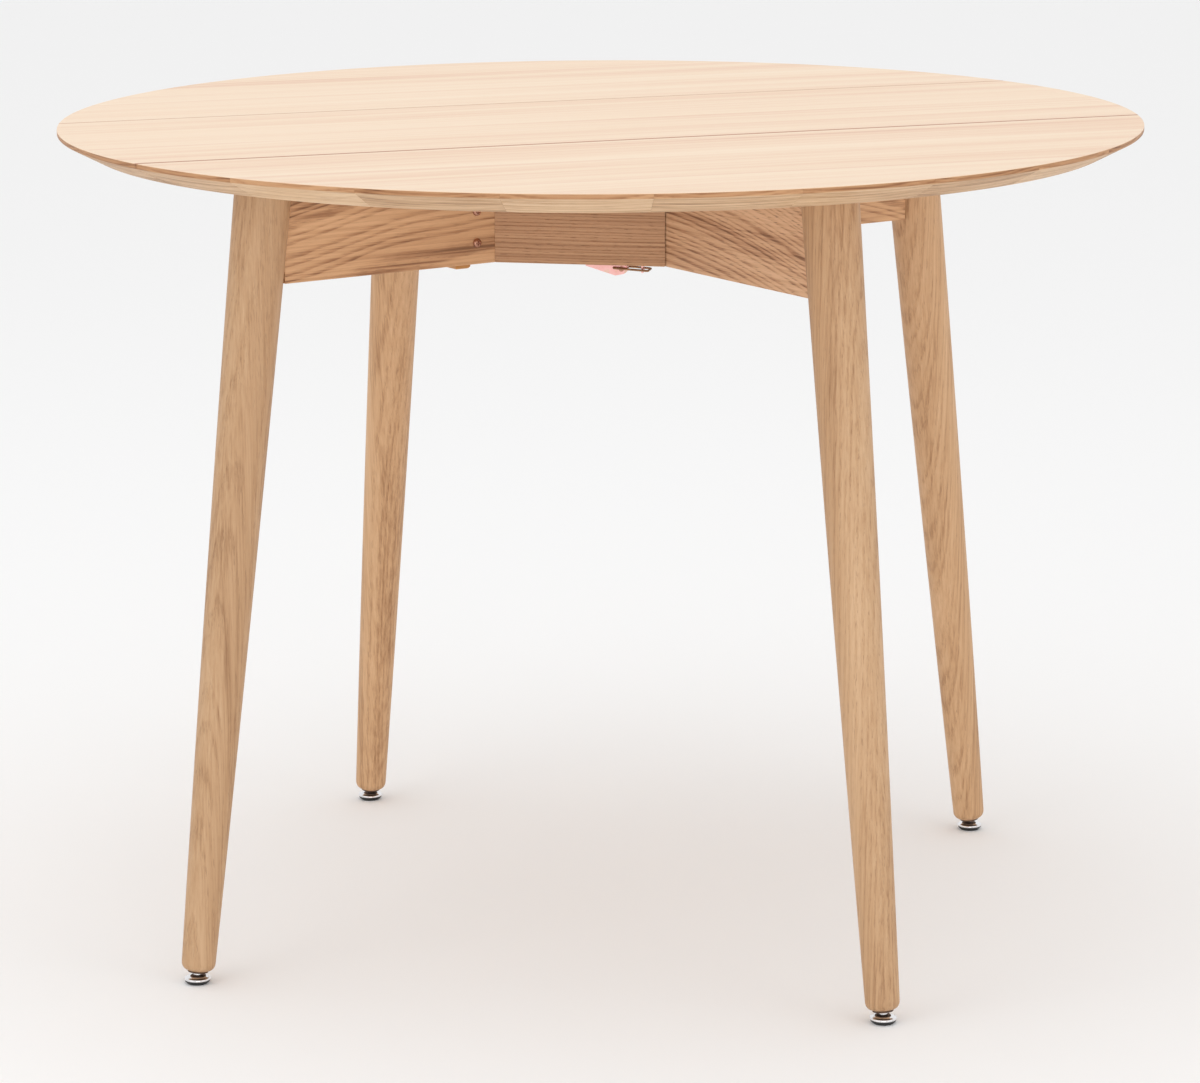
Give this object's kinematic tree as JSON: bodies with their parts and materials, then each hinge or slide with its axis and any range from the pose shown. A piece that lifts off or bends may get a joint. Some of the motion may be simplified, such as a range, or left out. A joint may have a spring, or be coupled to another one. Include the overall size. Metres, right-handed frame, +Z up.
{
  "type": "gateleg table",
  "caption": "Round oak gateleg table with a fixed centre strip, hinged drop leaves, two swinging gate legs, toggle latches and screw-out glides.",
  "frame": {"origin": "on the floor under the centre of the round top", "axes": "+X from the front left leg to the front right leg, +Y from the front legs to the back legs, +Z up"},
  "size_m": [1, 1, 0.755],
  "materials": {
    "core_board": "raw particle board faced underneath with plain oak veneer",
    "oak_lipping": "oiled solid oak",
    "oak_veneer": "matt lacquered pale oak veneer",
    "oak_leg": "oiled solid oak",
    "oak_rail": "oiled solid oak",
    "beech_block": "planed beech",
    "amber_block": "amber moulded plastic",
    "beech_dowel": "fluted beech",
    "felt_rubber": "soft grey rubber",
    "bronze_screw": "bronzed steel",
    "zinc_screw": "bright zinc",
    "glide_chrome": "polished chrome",
    "glide_pad": "black nylon",
    "insert_brown": "bronzed steel",
    "yellow_zinc": "yellow passivated zinc, pinkish sheen",
    "hinge_steel": "nickel plated steel"
  },
  "bodies": {
    "base": {"strip_core": "core_board", "strip_lipping": "oak_lipping", "strip_veneer": "oak_veneer", "cross_rail": "oak_rail", "spacer_rails": "oak_rail", "corner_blocks": "beech_block", "front_left_leg": "oak_leg", "back_right_leg": "oak_leg", "rail_dowels": "beech_dowel", "fixed_leg_inserts": "insert_brown", "gate_hinge_fixed_plates": "hinge_steel", "gate_hinge_pins": "hinge_steel", "fold_stops": "amber_block", "fold_stop_bumpers": "felt_rubber", "stop_screws": "bronze_screw", "frame_screws": "zinc_screw", "latch_base_front": "yellow_zinc", "latch_base_back": "yellow_zinc", "latch_rivets": "yellow_zinc", "top_brackets": "hinge_steel", "leaf_hinge_strip_plates": "hinge_steel", "leaf_hinge_pins": "hinge_steel"},
    "gate_front": {"front_right_leg": "oak_leg", "front_gate_arm": "oak_rail", "front_gate_dowels": "beech_dowel", "front_gate_hinge_plate": "hinge_steel", "front_gate_screws": "zinc_screw", "front_gate_pad": "felt_rubber", "front_gate_insert": "insert_brown", "latch_hook_front": "yellow_zinc"},
    "leaf_front": {"front_leaf_core": "core_board", "front_leaf_lipping": "oak_lipping", "front_leaf_veneer": "oak_veneer", "front_leaf_hinge_plates": "hinge_steel", "front_leaf_screws": "zinc_screw"},
    "latch_lever_front": {"latch_lever_front": "yellow_zinc"},
    "latch_loop_front": {"latch_loop_front": "yellow_zinc"},
    "gate_back": {"back_left_leg": "oak_leg", "back_gate_arm": "oak_rail", "back_gate_dowels": "beech_dowel", "back_gate_hinge_plate": "hinge_steel", "back_gate_screws": "zinc_screw", "back_gate_pad": "felt_rubber", "back_gate_insert": "insert_brown", "latch_hook_back": "yellow_zinc"},
    "leaf_back": {"back_leaf_core": "core_board", "back_leaf_lipping": "oak_lipping", "back_leaf_veneer": "oak_veneer", "back_leaf_hinge_plates": "hinge_steel", "back_leaf_screws": "zinc_screw"},
    "latch_lever_back": {"latch_lever_back": "yellow_zinc"},
    "latch_loop_back": {"latch_loop_back": "yellow_zinc"},
    "glide_front_left": {"front_left_glide": "glide_chrome", "front_left_glide_pad": "glide_pad"},
    "glide_front_right": {"front_right_glide": "glide_chrome", "front_right_glide_pad": "glide_pad"},
    "glide_back_right": {"back_right_glide": "glide_chrome", "back_right_glide_pad": "glide_pad"},
    "glide_back_left": {"back_left_glide": "glide_chrome", "back_left_glide_pad": "glide_pad"}
  },
  "joints": [
    {"name": "leaf_front_lift", "type": "hinge", "parent": "base", "child": "leaf_front", "pos_m": [0.07726, -0.12857, 0.735], "axis": [-0.8572, -0.515, 0], "range_deg": [0, 2.5]},
    {"name": "gate_front_swing", "type": "hinge", "parent": "base", "child": "gate_front", "pos_m": [0.02404, 0, 0.685], "axis": [0, 0, 1], "range_deg": [0, 66]},
    {"name": "latch_front_lever", "type": "hinge", "parent": "base", "child": "latch_lever_front", "pos_m": [0.03102, -0.057, 0.6255], "axis": [0, 1, 0], "range_deg": [-93, 0]},
    {"name": "latch_front_loop", "type": "hinge", "parent": "latch_lever_front", "child": "latch_loop_front", "pos_m": [0.02372, -0.057, 0.6264], "axis": [0, 1, 0], "range_deg": [0, 199]},
    {"name": "leaf_back_lift", "type": "hinge", "parent": "base", "child": "leaf_back", "pos_m": [-0.07726, 0.12857, 0.735], "axis": [0.8572, 0.515, 0], "range_deg": [0, 2.5]},
    {"name": "gate_back_swing", "type": "hinge", "parent": "base", "child": "gate_back", "pos_m": [-0.02404, 0, 0.685], "axis": [0, 0, 1], "range_deg": [0, 66]},
    {"name": "latch_back_lever", "type": "hinge", "parent": "base", "child": "latch_lever_back", "pos_m": [-0.03102, 0.057, 0.6255], "axis": [0, -1, 0], "range_deg": [-93, 0]},
    {"name": "latch_back_loop", "type": "hinge", "parent": "latch_lever_back", "child": "latch_loop_back", "pos_m": [-0.02372, 0.057, 0.6264], "axis": [0, -1, 0], "range_deg": [0, 199]},
    {"name": "glide_front_left_screw_out", "type": "slide", "parent": "base", "child": "glide_front_left", "axis": [-0.0846, -0.0846, -0.9928], "range_m": [0, 0.008]},
    {"name": "glide_front_right_screw_out", "type": "slide", "parent": "gate_front", "child": "glide_front_right", "axis": [0.0846, -0.0846, -0.9928], "range_m": [0, 0.008]},
    {"name": "glide_back_right_screw_out", "type": "slide", "parent": "base", "child": "glide_back_right", "axis": [0.0846, 0.0846, -0.9928], "range_m": [0, 0.008]},
    {"name": "glide_back_left_screw_out", "type": "slide", "parent": "gate_back", "child": "glide_back_left", "axis": [-0.0846, 0.0846, -0.9928], "range_m": [0, 0.008]}
  ],
  "couplings": [
    {"joint": "latch_front_lever", "follows": "gate_front_swing", "ratio": -1.4},
    {"joint": "latch_front_loop", "follows": "gate_front_swing", "ratio": 3},
    {"joint": "latch_back_lever", "follows": "gate_back_swing", "ratio": -1.4},
    {"joint": "latch_back_loop", "follows": "gate_back_swing", "ratio": 3}
  ]
}
